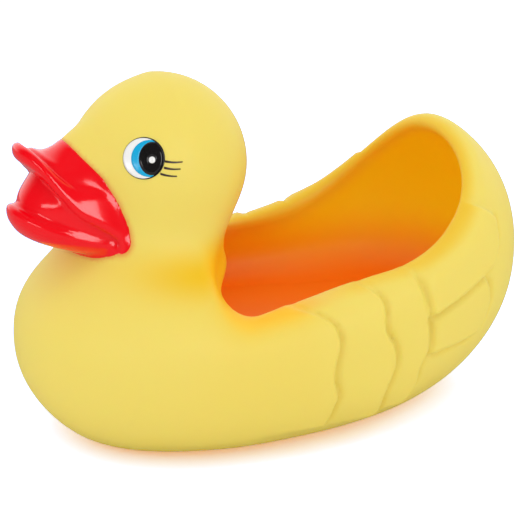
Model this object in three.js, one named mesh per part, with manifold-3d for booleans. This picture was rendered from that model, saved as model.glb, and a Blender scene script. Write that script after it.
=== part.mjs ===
import * as THREE from 'three';
import Module from 'manifold-3d';

const wasm = await Module();
wasm.setup();

// Sizes in millimetres. The duck looks along -Y, its left side is +X, and it stands on z = 0.

// Hull: an egg lying down, with a taller stern blended into it
const hullHalfWidth = 71.4;
const hullFrontLength = 91.4;
const hullBackLength = 86;
const hullDepth = 49;
const hullRise = 46;
const hullCentreY = -10.9;
const hullCentreZ = 42;
const hullFullness = 2.3;
const sternHalfWidth = 58.6;
const sternHalfLength = 66.3;
const sternHalfHeight = 65.7;
const sternBehindHull = 68.9;
const sternCentreZ = 64.5;
const sternFullness = 2.1;
const sternBlend = 30;
const baseEdge = 6;

// Tray: the hollow in the back, its floor, its rounded rim and the sheer line that the rim follows
const rimWidth = 12;
const sternRimWidth = 8.5;
const rimThinsFromY = 26;
const rimThinsToY = 86;
const rimSquare = 1;
const trayFloorZ = 38;
const trayFloorRound = 16;
const trayBehindHead = 6;
const trayFrontRound = 14;
const sheerFrontZ = 63;
const sheerFrontY = -30;
const sheerSlope = 0.14;
const sheerRiseY = 38;
const sheerRise = 0.0068;
const sternPeak = 26;
const sternPeakFromY = 30;
const sternPeakRun = 40;
const crestRound = 8;

// Head and neck
const headRadius = 34.6;
const headHalfWidth = 36;
const headBehindChest = 60.3;
const headCentreZ = 115.5;
const browForward = 29.5;
const browRadius = 13.5;
const browBlend = 14;
const neckRadius = 26;
const neckFootRadius = 34;
const neckFootForward = 12;
const neckFootZ = 35;
const neckBlend = 24;
const headToNeckBlend = 10;

// Bill: an arched upper sheet with a turned-up tip and a lower lip, held apart by the mouth
const billForward = 24;
const mouthBelow = 25;
const upperBillLength = 37.5;
const upperBillHalfWidth = 26;
const upperBillThickness = 6.5;
const tipThickness = 2.6;
const cornerThickness = 7;
const lipSlope = 21;
const lipArch = 12.5;
const archAlong = 0.7;
const archRun = 0.58;
const tipCurl = 1.4;
const curlRun = 6.5;
const billRidgeAbove = 19;
const lipGroove = 1.5;
const lipGrooveInset = 5.8;
const lipGrooveWidth = 1.7;
const lowerBillLength = 41;
const lowerBillHalfWidth = 26.5;
const lowerBillDepth = 10;
const lowerLipRise = 14.5;
const lowerTipRise = 1.5;
const lowerUnderRise = 8;
const lowerHollow = 4;
const lowerRound = 10;
const mouthInset = 0.5;
const mouthSideInset = 2.5;
const mouthSlope = 1;
const mouthSlopeAbove = 17.5;
const billBackRadius = 12;
const billFillet = 2.5;

// Wing feathers: the trailing edge of each row, from low to high, and the two long flight feathers
const featherRise = 1.9;
const featherRoot = 1.4;
const rows = [
  { frontY: -26, lowZ: 14, highZ: 64, edgeY: [3.2, 3.7, 4.2, 3.9, 3.5, 4.6, 4.1, 6] },
  { frontY: 2, lowZ: 14, highZ: 67, edgeY: [30, 29.6, 29.9, 31.5, 31.2, 27.9, 27.3, 28.3] },
  { frontY: 24, lowZ: 16, highZ: 69, edgeY: [46, 46.8, 47.6, 49.8, 50, 48.6, 47, 44.8] },
];
const flights = [
  { rootY: 42, tipY: 91.5, lowZ: 53, lowRise: 17, highZ: 68, highRise: 26 },
  { rootY: 46, tipY: 87, lowZ: 36, lowRise: 2, highZ: 50.5, highRise: 15 },
];

// Moulded wall, paint and eyes
const wall = 2.6;
const thinnestWall = 1.5;
const paintGap = 0.3;
const paintThickness = 0.45;
const eyeAzimuth = 58;
const eyeElevation = 16;
const eyeRadius = 7.9;
const irisRadius = 7.2;
const irisBack = 2.6;
const pupilHalfWidth = 5.1;
const pupilHalfHeight = 6.5;
const pupilBack = 3.6;
const glintRadius = 1.3;
const glintBack = 3.7;
const glintUp = -0.55;
const outlineWidth = 0.6;
const lashWidth = 0.95;
const thinnestPaint = 0.3;

// Squeaker in the base
const squeakerRadius = 8;
const squeakerHeight = 10;
const squeakerFlange = 2;
const squeakerFlangeThickness = 0.9;
const squeakerWall = 1.4;
const squeakerHole = 1.2;
const reedThickness = 2;
const fit = 0.3;

// Steps of the meshes
const bodyStep = 8.6;
const rimStep = 4.9;
const crestStep = 6;
const hollowStep = 13;
const billStep = 3.4;

const vinyl = new THREE.MeshStandardMaterial({ color: 0xf2da72, roughness: 0.42, metalness: 0 });
const redPaint = new THREE.MeshStandardMaterial({ color: 0xea0818, roughness: 0.18, metalness: 0 });
const whitePaint = new THREE.MeshStandardMaterial({ color: 0xf4f2ee, roughness: 0.25, metalness: 0 });
const bluePaint = new THREE.MeshStandardMaterial({ color: 0x1292dc, roughness: 0.25, metalness: 0 });
const blackPaint = new THREE.MeshStandardMaterial({ color: 0x141212, roughness: 0.2, metalness: 0 });
const brownPaint = new THREE.MeshStandardMaterial({ color: 0x3a2014, roughness: 0.35, metalness: 0 });
const clearPlastic = new THREE.MeshStandardMaterial({ color: 0xeeeee6, roughness: 0.4, metalness: 0 });

const sternCentreY = hullCentreY + sternBehindHull;
const headCentreY = hullCentreY - hullFrontLength + headBehindChest;
const neckFootY = headCentreY - neckFootForward;
const trayFrontY = headCentreY + trayBehindHead;
const browY = headCentreY - browForward;
const billY = headCentreY - billForward;
const mouthZ = headCentreZ - mouthBelow;
const hollowEndY = sternCentreY + sternHalfLength - 4 * rimWidth;

const clamp = (v, low, high) => Math.min(Math.max(v, low), high);

// Rises smoothly from 0 to 1 about zero, over a width
function fade(v, width) {
  const t = clamp(v / width + 0.5, 0, 1);
  return t * t * (3 - 2 * t);
}

// Rounded joins of two shapes, each given as a distance that is negative inside
const join = (a, b, round) => Math.min(a, b) - Math.max(round - Math.abs(a - b), 0) ** 2 / (4 * round);
const keep = (a, b, round) => -join(-a, -b, round);

// Nearly the distance to an egg with half sizes w, l and h
function egg(x, y, z, w, l, h, fullness) {
  const u = Math.abs(x) / w;
  const v = Math.abs(y) / l;
  const t = Math.abs(z) / h;
  const size = u ** fullness + v ** fullness + t ** fullness;
  const power = fullness - 1;
  const slope = fullness * Math.hypot(u ** power / w, v ** power / l, t ** power / h);
  return (size - 1) / (slope + 1e-3);
}

// Distance to a round-ended cone between two points in the plane x = 0
function roundCone(x, y, z, y0, z0, r0, y1, z1, r1) {
  const dy = y1 - y0;
  const dz = z1 - z0;
  const t = clamp(((y - y0) * dy + (z - z0) * dz) / (dy * dy + dz * dz), 0, 1);
  return Math.hypot(x, y - y0 - t * dy, z - z0 - t * dz) - (r0 + t * (r1 - r0));
}

function hullShape(x, y, z) {
  const forward = y - hullCentreY;
  const up = z - hullCentreZ;
  const length = forward < 0 ? hullFrontLength : hullBackLength;
  const height = up < 0 ? hullDepth : hullRise;
  const hull = egg(x, forward, up, hullHalfWidth, length, height, hullFullness);
  const behind = y - sternCentreY;
  const above = z - sternCentreZ;
  const stern = egg(x, behind, above, sternHalfWidth, sternHalfLength, sternHalfHeight, sternFullness);
  return join(hull, stern, sternBlend);
}

// Height of the rim: level beside the tray, then rising to the peak of the stern
function sheer(x, y) {
  const towardsStern = clamp((y - sternPeakFromY) / sternPeakRun, 0, 1);
  const inward = Math.max(1 - (x / sternHalfWidth) ** 2, 0);
  const run = Math.max(y + sternPeak * inward * towardsStern - sheerRiseY, 0);
  return sheerFrontZ + sheerSlope * (y - sheerFrontY) + sheerRise * run * run;
}

// Width of the rim: it thins out toward the upright stern
function rimAt(y) {
  const thinned = fade(y - (rimThinsFromY + rimThinsToY) / 2, rimThinsToY - rimThinsFromY);
  return rimWidth - (rimWidth - sternRimWidth) * thinned;
}

function trayShape(x, y, z, hull) {
  const basin = keep(hull + rimAt(y), trayFloorZ - z, trayFloorRound);
  const open = join(basin, sheer(x, y) - z, crestRound);
  return keep(open, trayFrontY - y, trayFrontRound);
}

function headShape(x, y, z) {
  const round = Math.hypot((x * headRadius) / headHalfWidth, y - headCentreY, z - headCentreZ) - headRadius;
  const brow = roundCone(x, y, z, headCentreY, headCentreZ, headRadius * 0.9, browY, headCentreZ, browRadius);
  return join(round, brow, browBlend);
}

function bodyShape(x, y, z) {
  const hull = hullShape(x, y, z);
  const scooped = keep(hull, -trayShape(x, y, z, hull), rimAt(y) - rimSquare);
  const neck = roundCone(x, y, z, neckFootY, neckFootZ, neckFootRadius, headCentreY, headCentreZ, neckRadius);
  const whole = join(scooped, join(headShape(x, y, z), neck, headToNeckBlend), neckBlend);
  return keep(whole, -z, baseEdge);
}

// Distance to a bill outline seen from above, and how far out a point lies from 0 to 1 at the edge
function outline(x, y, halfWidth, length) {
  const reach = y < billY ? length : billBackRadius;
  const u = x / halfWidth;
  const v = (y - billY) / reach;
  const out = Math.hypot(u, v);
  const slope = Math.hypot(u / halfWidth, v / reach) / Math.max(out, 1e-3);
  return [(out - 1) / Math.max(slope, 1e-4), Math.min(out, 1)];
}

function billShape(x, y, z) {
  const along = clamp((billY - y) / (upperBillLength - 0.5), -0.6, 1.1);
  const ahead = Math.max(along, 0);
  const curl = tipCurl * Math.exp(-(((billY - y - upperBillLength + 5) / curlRun) ** 2));
  const lipZ = mouthZ + lipSlope * along + lipArch * fade(along - archAlong, archRun);
  const edgeZ = lipZ + upperBillThickness - 1;
  const [upperOut, upperShare] = outline(x, y, upperBillHalfWidth, upperBillLength);
  const crown = (1 - upperShare ** 2) ** (0.9 + 0.5 * ahead);
  const groove = lipGroove * Math.exp(-(((upperOut + lipGrooveInset) / lipGrooveWidth) ** 2));
  const topZ = edgeZ + (headCentreZ + billRidgeAbove - edgeZ) * crown + curl - groove;
  const nearCorner = Math.max(1 - ahead, 0);
  const thickness = upperBillThickness + tipThickness * ahead ** 3 + cornerThickness * nearCorner ** 3;
  const sheet = keep((z - topZ) * 0.8, (topZ - thickness - z) * 0.8, 4);
  const upper = keep(sheet, upperOut, 6);

  const [lowerOut, lowerShare] = outline(x, y, lowerBillHalfWidth, lowerBillLength);
  const lipTop = mouthZ + lowerLipRise * along + lowerTipRise * ahead ** 6;
  const lowerTop = lipTop - lowerHollow * (1 - lowerShare ** 4);
  const lowerUnder = mouthZ - lowerBillDepth + lowerUnderRise * along + 5 * lowerShare ** 3;
  const lower = keep(keep(z - lowerTop, lowerUnder - z, 6), lowerOut, lowerRound);

  const mouthHalfWidth = upperBillHalfWidth - mouthSideInset;
  const [mouthOut] = outline(x, y, mouthHalfWidth, upperBillLength - mouthInset);
  const above = z - mouthZ - mouthSlopeAbove;
  const slant = 0.5 * (above + Math.hypot(above, 4));
  const throat = mouthOut + mouthSlope * slant * ahead;
  const mouth = keep(keep(throat, (z - topZ + 2) * 0.8, 3), lowerUnder + 2 - z, 3);
  return join(join(upper, lower, 1.5), mouth, 2);
}

const duckShape = (x, y, z) => join(bodyShape(x, y, z), billShape(x, y, z), billFillet);

// The hollow follows the outside at the wall's distance, and stops under the stern's thin upright rim
function hollowShape(x, y, z) {
  const sternRim = keep(hollowEndY - y, trayFloorZ - rimWidth / 2 - z, baseEdge);
  return keep(duckShape(x, y, z) + wall, -sternRim, baseEdge);
}

function slopeAt(shape, p) {
  const e = 0.05;
  return new THREE.Vector3(
    (shape(p.x + e, p.y, p.z) - shape(p.x - e, p.y, p.z)) / (2 * e),
    (shape(p.x, p.y + e, p.z) - shape(p.x, p.y - e, p.z)) / (2 * e),
    (shape(p.x, p.y, p.z + e) - shape(p.x, p.y, p.z - e)) / (2 * e)
  );
}

// Moves a point onto the shape's surface, in short steps along its slope
function settle(shape, p, longest, rounds) {
  for (let i = 0; i < rounds; i += 1) {
    const slope = slopeAt(shape, p);
    const move = slope.multiplyScalar(shape(p.x, p.y, p.z) / (slope.lengthSq() + 1e-9));
    p.sub(move.clampLength(0, longest));
  }
  return p;
}

// Grid lines from low to high, closer together between two places
function gridLines(low, high, step, fineFrom = high, fineTo = high, fineStep = step) {
  const lines = [low];
  while (lines.at(-1) < high) {
    const last = lines.at(-1);
    lines.push(last + (last >= fineFrom && last < fineTo ? fineStep : step));
  }
  return lines;
}

// The same lines on both sides of zero
const bothSides = (lines) => [...lines.slice(1).map((v) => -v).reverse(), ...lines];

// Flips the weakest corner of each grid face whose corners are in and out by turns
function partCorners(values, counts, strides) {
  let flips = 0;
  for (let home = 0; home < values.length; home += 1) {
    const row = Math.floor(home / strides[1]);
    const place = [Math.floor(home / strides[0]), row % counts[1], home % counts[2]];
    for (let a = 0; a < 3; a += 1) {
      const b = (a + 1) % 3;
      if (place[a] === counts[a] - 1 || place[b] === counts[b] - 1) continue;
      const face = [home, home + strides[a], home + strides[a] + strides[b], home + strides[b]];
      const inside = face.map((id) => values[id] < 0);
      if (inside[0] !== inside[2] || inside[1] !== inside[3] || inside[0] === inside[1]) continue;
      const weakest = face.sort((p, q) => Math.abs(values[p]) - Math.abs(values[q]))[0];
      values[weakest] = values[weakest] < 0 ? 0.01 : -0.01;
      flips += 1;
    }
  }
  return flips;
}

// Evens out the points: each moves halfway to the middle of its neighbours, then back onto the surface
function evenOut(points, quads, shape, longest) {
  const around = points.map(() => new Set());
  for (const ring of quads) ring.forEach((id, n) => around[id].add(ring[(n + 1) % 4]).add(ring[(n + 3) % 4]));
  for (let round = 0; round < 4; round += 1) {
    const middles = around.map((ids) => {
      const sum = new THREE.Vector3();
      for (const id of ids) sum.add(points[id]);
      return sum.divideScalar(ids.size);
    });
    middles.forEach((middle, n) => settle(shape, points[n].lerp(middle, 0.5), longest, 3));
  }
}

// Groups of a grid cell's eight corners: neighbours on the same side of the surface
function cornerGroups(signs) {
  const groups = signs.map((_, corner) => corner);
  for (let round = 0; round < 7; round += 1) {
    for (let corner = 0; corner < 8; corner += 1) {
      for (const other of [corner ^ 1, corner ^ 2, corner ^ 4]) {
        if (signs[corner] === signs[other]) groups[corner] = Math.min(groups[corner], groups[other]);
      }
    }
  }
  return groups;
}

// Closed mesh of a shape on a grid: one point for each sheet of the surface in each grid cell
function netOf(shape, grid) {
  const counts = grid.map((lines) => lines.length);
  const [nx, ny, nz] = counts;
  const strides = [ny * nz, nz, 1];
  const gap = Math.min(...grid.map((lines) => Math.min(...lines.slice(1).map((v, i) => v - lines[i]))));
  const places = [];
  for (let i = 0; i < nx; i += 1) {
    for (let j = 0; j < ny; j += 1) {
      for (let k = 0; k < nz; k += 1) places.push([i, j, k]);
    }
  }
  const spotAt = (place) => place.map((line, n) => grid[n][line]);
  const values = places.map((place) => shape(...spotAt(place)));
  for (let round = 0; round < 8 && partCorners(values, counts, strides) > 0; round += 1);

  const points = [];
  const cells = new Map();
  const sheetOf = (groups, corner, other) => {
    const pair = [groups[corner], groups[other]];
    return Math.min(...pair) * 8 + Math.max(...pair);
  };
  const cornerHome = (home, corner) =>
    home + strides.reduce((sum, stride, n) => sum + ((corner >> n) & 1) * stride, 0);
  places.forEach((place, home) => {
    if (place.some((line, n) => line === counts[n] - 1)) return;
    const signs = Array.from({ length: 8 }, (_, corner) => values[cornerHome(home, corner)] < 0);
    if (signs.every((sign) => sign === signs[0])) return;
    const groups = cornerGroups(signs);
    const sheets = new Map();
    for (let a = 0; a < 3; a += 1) {
      for (let corner = 0; corner < 8; corner += 1) {
        const other = corner | (1 << a);
        if (other === corner || signs[corner] === signs[other]) continue;
        const from = values[cornerHome(home, corner)];
        const to = values[cornerHome(home, other)];
        const start = spotAt(places[cornerHome(home, corner)]);
        const end = spotAt(places[cornerHome(home, other)]);
        const crossing = new THREE.Vector3(...start).lerp(new THREE.Vector3(...end), from / (from - to));
        const sheet = sheetOf(groups, corner, other);
        sheets.set(sheet, [...(sheets.get(sheet) ?? []), crossing]);
      }
    }
    const ids = new Map();
    for (const [sheet, crossings] of sheets) {
      const sum = crossings.reduce((total, p) => total.add(p), new THREE.Vector3());
      const middle = sum.divideScalar(crossings.length);
      ids.set(sheet, points.length);
      points.push(settle(shape, middle, 0.6 * gap, 3));
    }
    cells.set(home, { groups, ids });
  });

  const quads = [];
  places.forEach((place, home) => {
    for (let a = 0; a < 3; a += 1) {
      if (place[a] === counts[a] - 1) continue;
      if (values[home] < 0 === values[home + strides[a]] < 0) continue;
      const b = (a + 1) % 3;
      const c = (a + 2) % 3;
      const ring = [(1 << b) | (1 << c), 1 << c, 0, 1 << b].map((corner) => {
        const { groups, ids } = cells.get(home - cornerHome(0, corner));
        return ids.get(sheetOf(groups, corner, corner | (1 << a)));
      });
      quads.push(values[home] >= 0 ? ring.reverse() : ring);
    }
  });
  evenOut(points, quads, shape, 0.6 * gap);
  const offSurface = (p, q) => Math.abs(shape(...points[p].clone().lerp(points[q], 0.5).toArray()));
  const triangles = quads.flatMap(([a, b, c, d]) =>
    offSurface(a, c) <= offSurface(b, d) ? [a, b, c, a, c, d] : [b, c, d, b, d, a]
  );
  return { points, triangles };
}

const solidOf = ({ points, triangles }) =>
  new wasm.Manifold(
    new wasm.Mesh({
      numProp: 3,
      vertProperties: new Float32Array(points.flatMap((p) => [p.x, p.y, p.z])),
      triVerts: new Uint32Array(triangles),
    })
  );

// Geometry of a solid's largest shell, without the crumbs that a cut leaves where two faces graze
function geometryOf(solid) {
  const { vertProperties, triVerts } = solid.getMesh();
  const leader = Array.from({ length: vertProperties.length / 3 }, (_, i) => i);
  const find = (i) => {
    while (leader[i] !== i) i = leader[i] = leader[leader[i]];
    return i;
  };
  for (let t = 0; t < triVerts.length; t += 3) {
    leader[find(triVerts[t + 1])] = find(triVerts[t]);
    leader[find(triVerts[t + 2])] = find(triVerts[t]);
  }
  const shells = new Map();
  for (let t = 0; t < triVerts.length; t += 3) {
    const shell = find(triVerts[t]);
    if (!shells.has(shell)) shells.set(shell, []);
    shells.get(shell).push(triVerts[t], triVerts[t + 1], triVerts[t + 2]);
  }
  const largest = [...shells.values()].sort((a, b) => b.length - a.length)[0];
  const geometry = new THREE.BufferGeometry();
  geometry.setAttribute('position', new THREE.BufferAttribute(vertProperties, 3));
  geometry.setIndex(largest);
  const loose = geometry.toNonIndexed();
  loose.computeVertexNormals();
  return loose;
}

// The same net with each point moved out along the shape's slope
function swollen(net, shape, by) {
  const points = net.points.map((p) => p.clone().addScaledVector(slopeAt(shape, p).normalize(), by));
  return { points, triangles: net.triangles };
}

// Closed plate over a grid of points: outer(u, v) and inner(u, v), with u and v from 0 to 1
function plate(outer, inner, across, up, wraps) {
  const points = [];
  const triangles = [];
  const columns = wraps ? across : across + 1;
  for (const side of [outer, inner]) {
    for (let j = 0; j <= up; j += 1) {
      for (let i = 0; i < columns; i += 1) points.push(side(i / across, j / up));
    }
  }
  const layer = columns * (up + 1);
  const id = (i, j, k) => (i % columns) + j * columns + k * layer;
  const quad = (a, b, c, d) => triangles.push(a, b, c, a, c, d);
  for (let i = 0; i < across; i += 1) {
    for (let j = 0; j < up; j += 1) {
      quad(id(i, j, 0), id(i + 1, j, 0), id(i + 1, j + 1, 0), id(i, j + 1, 0));
      quad(id(i, j, 1), id(i, j + 1, 1), id(i + 1, j + 1, 1), id(i + 1, j, 1));
    }
    quad(id(i, 0, 1), id(i + 1, 0, 1), id(i + 1, 0, 0), id(i, 0, 0));
    quad(id(i, up, 0), id(i + 1, up, 0), id(i + 1, up, 1), id(i, up, 1));
  }
  for (let j = 0; j < up && !wraps; j += 1) {
    quad(id(0, j, 0), id(0, j + 1, 0), id(0, j + 1, 1), id(0, j, 1));
    quad(id(across, j, 1), id(across, j + 1, 1), id(across, j + 1, 0), id(across, j, 0));
  }
  return { points, triangles };
}

// The other side's copy of a net
function mirrored({ points, triangles }) {
  const turned = [];
  for (let t = 0; t < triangles.length; t += 3) turned.push(triangles[t], triangles[t + 2], triangles[t + 1]);
  return { points: points.map((p) => new THREE.Vector3(-p.x, p.y, p.z)), triangles: turned };
}

const sides = { left: (net) => net, right: mirrored };

// A point of the flank at (y, z), moved out by a height
function flankPoint(y, z, out) {
  let low = 0;
  let high = hullHalfWidth * 1.2;
  for (let i = 0; i < 40; i += 1) {
    const x = (low + high) / 2;
    if (hullShape(x, y, z) < 0) low = x;
    else high = x;
  }
  const p = settle(bodyShape, new THREE.Vector3(low, y, z), 1, 4);
  return p.addScaledVector(slopeAt(bodyShape, p).normalize(), out);
}

// A row of covert feathers: a wedge that rises towards its scalloped trailing edge
function featherRow({ frontY, lowZ, highZ, edgeY }) {
  const lobes = edgeY.length - 1;
  const spot = (u, v, out) => {
    const edge = edgeY[Math.round(v * lobes)];
    return flankPoint(frontY + u * (edge - frontY), lowZ + v * (highZ - lowZ), out);
  };
  const height = (u, v) => -0.4 + (featherRise + 0.4) * u ** 1.3 * clamp(6 * Math.min(v, 1 - v), 0, 1);
  return plate((u, v) => spot(u, v, height(u, v)), (u, v) => spot(u, v, -featherRoot), 2, lobes, false);
}

// A long flight feather that sweeps up to a round tip behind the rows
function flightFeather({ rootY, tipY, lowZ, lowRise, highZ, highRise }) {
  const spot = (u, v, out) => {
    const reach = tipY - rootY - 60 * Math.max(v - 0.6, 0) ** 2;
    const low = lowZ + lowRise * u ** 1.4;
    const high = highZ + highRise * u;
    return flankPoint(rootY + u * reach, low + v * (high - low), out);
  };
  const height = (u, v) => featherRise * clamp(4 * u, 0, 1) - (v > 0.99 ? 0.8 : 0);
  return plate((u, v) => spot(u, v, height(u, v)), (u, v) => spot(u, v, -featherRoot), 5, 3, false);
}

const wing = [...rows.map(featherRow), ...flights.map(flightFeather)];

// Body: the moulded shell with its bill and feathers, hollow, with a stepped hole for the squeaker
const lowerTipY = billY - Math.max(upperBillLength, lowerBillLength);
const frontY = Math.min(lowerTipY, hullCentreY - hullFrontLength);
const sternEndY = Math.max(hullCentreY + hullBackLength, sternCentreY + sternHalfLength);
const crownZ = headCentreZ + headRadius;
const topZ = Math.max(crownZ, sternCentreZ + sternHalfHeight);
const billWidest = Math.max(upperBillHalfWidth, lowerBillHalfWidth);

const rimInnerX = hullHalfWidth - 3 * rimWidth;
const bodyNet = netOf(bodyShape, [
  bothSides(gridLines(0, hullHalfWidth + 2 * bodyStep, bodyStep, rimInnerX, hullHalfWidth, rimStep)),
  gridLines(frontY - bodyStep, sternEndY + 2 * bodyStep, bodyStep, sternCentreY, sternEndY, rimStep),
  gridLines(-0.7 * bodyStep, topZ + 2 * bodyStep, bodyStep, sheerFrontZ - rimStep, topZ - bodyStep, crestStep),
]);
const billNet = netOf(billShape, [
  bothSides(gridLines(0, billWidest + 2 * billStep, billStep)),
  gridLines(lowerTipY - 2 * billStep, billY + billBackRadius + 2 * billStep, billStep),
  gridLines(mouthZ - lowerBillDepth - 3 * billStep, headCentreZ + billRidgeAbove + 3 * billStep, billStep),
]);
// The hollow runs up between the tray and the hull, so its grid is closer there
const hollowRimStep = rimWidth * 0.42;
const hollowNet = netOf(hollowShape, [
  bothSides(gridLines(0, hullHalfWidth + hollowStep, hollowStep, rimInnerX, hullHalfWidth, hollowRimStep)),
  gridLines(frontY - hollowStep, sternEndY + hollowStep, hollowStep),
  gridLines(-0.6 * hollowStep, topZ + hollowStep, hollowStep),
]);

// Upright cylinder about a centre on the middle plane
function cylinder(radius, from, to, centreY) {
  const segments = 24;
  const points = [new THREE.Vector3(0, centreY, from), new THREE.Vector3(0, centreY, to)];
  const triangles = [];
  for (let i = 0; i < segments; i += 1) {
    const turn = (2 * Math.PI * i) / segments;
    const x = radius * Math.cos(turn);
    const y = centreY + radius * Math.sin(turn);
    points.push(new THREE.Vector3(x, y, from), new THREE.Vector3(x, y, to));
    const a = 2 + 2 * i;
    const b = 2 + 2 * ((i + 1) % segments);
    triangles.push(a, b, b + 1, a, b + 1, a + 1, 0, b, a, 1, a + 1, b + 1);
  }
  return { points, triangles };
}

const squeakerY = hullCentreY;
const seatDepth = squeakerFlangeThickness + 2 * fit;
const seat = cylinder(squeakerRadius + squeakerFlange + fit, -1, seatDepth, squeakerY);
const bore = cylinder(squeakerRadius + fit, -1, wall + baseEdge, squeakerY);
let body = solidOf(bodyNet).add(solidOf(billNet));
for (const feather of wing) {
  for (const side of Object.values(sides)) body = body.add(solidOf(side(feather)));
}
const inside = solidOf(hollowNet).intersect(solidOf(swollen(bodyNet, bodyShape, -thinnestWall)));
body = body.subtract(inside).subtract(solidOf(bore)).subtract(solidOf(seat));

const duck = new THREE.Group();

function addPiece(name, geometry, material) {
  const piece = new THREE.Mesh(geometry, material);
  piece.name = name;
  duck.add(piece);
  return piece;
}

addPiece('duck_body', geometryOf(body), vinyl);

// Bill paint: a thin coat over all of the bill that stands clear of the head, ahead of a curved edge
const paintEdge = [
  [-70, 60], [-62, 70], [-62.5, 84], [-64.6, 91.7], [-65.5, 97], [-68.6, 106.4],
  [-73.2, 116], [-79.6, 124], [-82.8, 128.8], [-92, 136], [-112, 150],
];
const aheadOfEdge = (x) => (u, v) => {
  const [edgeY, z] = paintEdge[Math.round(v * (paintEdge.length - 1))];
  return new THREE.Vector3(x, edgeY + u * (lowerTipY - 2 * billStep - edgeY), z);
};
const paintRows = paintEdge.length - 1;
const paintRoom = plate(aheadOfEdge(-hullHalfWidth), aheadOfEdge(hullHalfWidth), 1, paintRows, false);
const coat = solidOf(swollen(billNet, billShape, paintGap + paintThickness))
  .subtract(solidOf(swollen(billNet, billShape, paintGap)))
  .subtract(solidOf(swollen(bodyNet, bodyShape, 3 * paintGap)))
  .subtract(body)
  .intersect(solidOf(paintRoom));
addPiece('bill_paint', geometryOf(coat), redPaint);

// Eyes: fields of paint on the head, drawn in a flat frame that faces out from each eye
const headCentre = new THREE.Vector3(0, headCentreY, headCentreZ);
const eyeTurn = THREE.MathUtils.degToRad(eyeAzimuth);
const eyeTilt = THREE.MathUtils.degToRad(eyeElevation);
const eyeAim = new THREE.Vector3(
  Math.sin(eyeTurn) * Math.cos(eyeTilt),
  -Math.cos(eyeTurn) * Math.cos(eyeTilt),
  Math.sin(eyeTilt)
);
const eyeCentre = settle(bodyShape, headCentre.clone().addScaledVector(eyeAim, headRadius), headRadius, 6);
const eyeOut = slopeAt(bodyShape, eyeCentre).normalize();
const eyeUp = new THREE.Vector3(0, 0, 1).addScaledVector(eyeOut, -eyeOut.z).normalize();
const eyeBack = new THREE.Vector3().crossVectors(eyeUp, eyeOut);

// A point of the head at (back, up) in the eye's frame, moved out by a height
function eyePoint(back, up, out) {
  const p = eyeCentre.clone().addScaledVector(eyeBack, back).addScaledVector(eyeUp, up);
  for (let i = 0; i < 8; i += 1) {
    const slope = slopeAt(bodyShape, p).dot(eyeOut);
    p.addScaledVector(eyeOut, -bodyShape(p.x, p.y, p.z) / slope);
  }
  return p.addScaledVector(slopeAt(bodyShape, p).normalize(), out);
}

const oval = (back, up, width, height) => ({ back, up, width, height });

// Distance from the eye's centre to the edge of an oval around it, along an angle
function ovalReach({ back, width, height }, angle) {
  const across = Math.cos(angle) / width;
  const along = Math.sin(angle) / height;
  const shift = back / width;
  const size = across ** 2 + along ** 2;
  const lean = shift * across;
  return (lean + Math.sqrt(lean ** 2 - size * (shift ** 2 - 1))) / size;
}

function paintField(spot, segments, wraps) {
  const outer = (u, v) => eyePoint(...spot(u, v), paintGap + paintThickness);
  return plate(outer, (u, v) => eyePoint(...spot(u, v), paintGap), segments, 1, wraps);
}

// A ring of paint between two ovals, one inside the other, that ends at a distance from the eye's centre
function ring(inner, outer, segments, end) {
  const onOval = (o, angle) => {
    const back = o.back + o.width * Math.cos(angle);
    const up = o.up - o.height * Math.sin(angle);
    const share = Math.min(1, end / Math.hypot(back, up));
    return [back * share, up * share];
  };
  const spot = (u, v) => {
    const [back, up] = onOval(inner, 2 * Math.PI * u);
    const [farBack, farUp] = onOval(outer, 2 * Math.PI * u);
    return [back + v * (farBack - back), up + v * (farUp - up)];
  };
  return paintField(spot, segments, true);
}

// A crescent of paint between an oval and the nearest of the ovals around it, as far as they stay apart
function crescent(inner, outers, segments) {
  const outerReach = (angle) => Math.min(...outers.map((outer) => ovalReach(outer, angle)));
  const widthAt = (angle) => outerReach(angle) - ovalReach(inner, angle);
  let start = 0;
  while (widthAt(start) < thinnestPaint) start += 0.01;
  const spot = (u, v) => {
    const angle = start + u * 2 * (Math.PI - start);
    const reach = ovalReach(inner, angle) + v * widthAt(angle);
    return [reach * Math.cos(angle), -reach * Math.sin(angle)];
  };
  return paintField(spot, segments, false);
}

// A lash: a strip that tapers from the eye to its tip
function lash(fromBack, fromUp, toBack, toUp) {
  const spot = (u, v, out) => {
    const half = (lashWidth / 2) * (1 - 0.6 * v);
    const bow = 0.5 * Math.sin(Math.PI * v);
    const up = fromUp + v * (toUp - fromUp) - bow + (1 - 2 * u) * half;
    return eyePoint(fromBack + v * (toBack - fromBack), up, out);
  };
  return plate((u, v) => spot(u, v, paintGap + paintThickness), (u, v) => spot(u, v, paintGap), 1, 4, false);
}

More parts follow.
